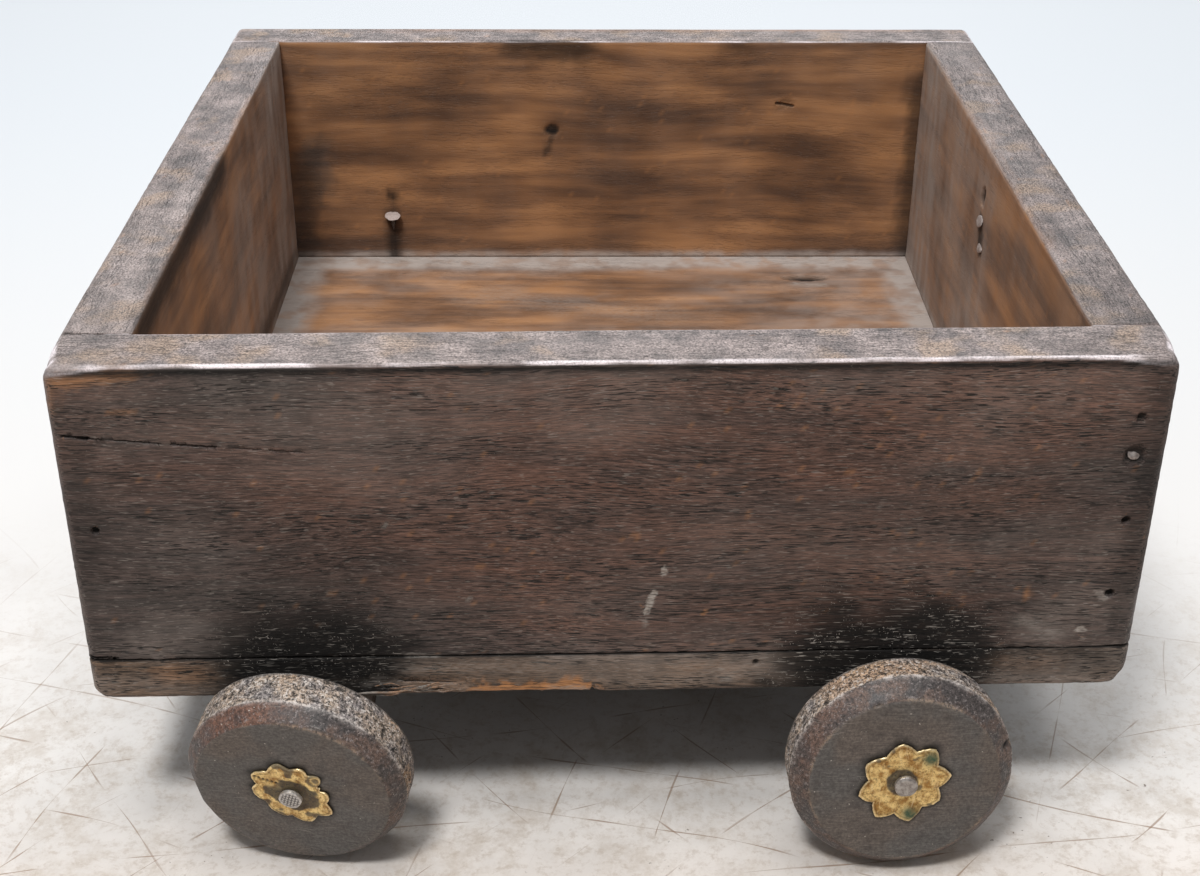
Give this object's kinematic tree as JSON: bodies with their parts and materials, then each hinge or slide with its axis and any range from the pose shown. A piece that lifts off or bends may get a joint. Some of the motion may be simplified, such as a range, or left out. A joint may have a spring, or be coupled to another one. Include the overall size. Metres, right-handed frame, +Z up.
{
  "type": "small wooden cart",
  "caption": "Small weathered box cart of thick hardwood boards on solid wooden wheels that turn on nails behind brass flower plates, for carrying or displaying things.",
  "frame": {"origin": "on the ground, under the middle of the box", "axes": "+X along the travel, to the cart's right end; +Y across the cart, from its near to its far side; +Z up"},
  "size_m": [0.3034, 0.3614, 0.1588],
  "materials": {
    "box_wood": "dark brown old hardwood with black grime in its pores and worn, slightly polished edges",
    "floor_wood": "paler brown worn hardwood, matte, with dark stains",
    "beam_wood": "rough dark hardwood, matte",
    "wheel_wood": "grey-brown hardwood, hand-cut, with dark grime and fine checks",
    "brass": "tarnished sheet brass with dark patina and green spots",
    "nail_steel": "bright worn steel with grey oxide"
  },
  "bodies": {
    "cart": {"floor_board": "floor_wood", "near_side_board": "box_wood", "far_side_board": "box_wood", "left_end_board": "box_wood", "right_end_board": "box_wood", "left_axle_beam": "beam_wood", "right_axle_beam": "beam_wood", "near_left_nail": "nail_steel", "near_right_nail": "nail_steel", "far_left_nail": "nail_steel", "far_right_nail": "nail_steel"},
    "near_left_wheel": {"near_left_wheel": "wheel_wood", "near_left_flower": "brass"},
    "near_right_wheel": {"near_right_wheel": "wheel_wood", "near_right_flower": "brass"},
    "far_left_wheel": {"far_left_wheel": "wheel_wood", "far_left_flower": "brass"},
    "far_right_wheel": {"far_right_wheel": "wheel_wood", "far_right_flower": "brass"}
  },
  "joints": [
    {"name": "near_left_wheel_spin", "type": "hinge", "parent": "cart", "child": "near_left_wheel", "pos_m": [-0.09114, -0.16639, 0.03277], "axis": [0.1474, 0.9749, 0.1668], "continuous": true},
    {"name": "near_right_wheel_spin", "type": "hinge", "parent": "cart", "child": "near_right_wheel", "pos_m": [0.08334, -0.16607, 0.03347], "axis": [-0.0348, 0.9972, -0.0663], "continuous": true},
    {"name": "far_left_wheel_spin", "type": "hinge", "parent": "cart", "child": "far_left_wheel", "pos_m": [-0.08872, 0.16756, 0.03296], "axis": [-0.0174, 0.9995, -0.0262], "continuous": true},
    {"name": "far_right_wheel_spin", "type": "hinge", "parent": "cart", "child": "far_right_wheel", "pos_m": [0.0831, 0.16847, 0.03328], "axis": [0.0262, 0.999, -0.0349], "continuous": true}
  ]
}
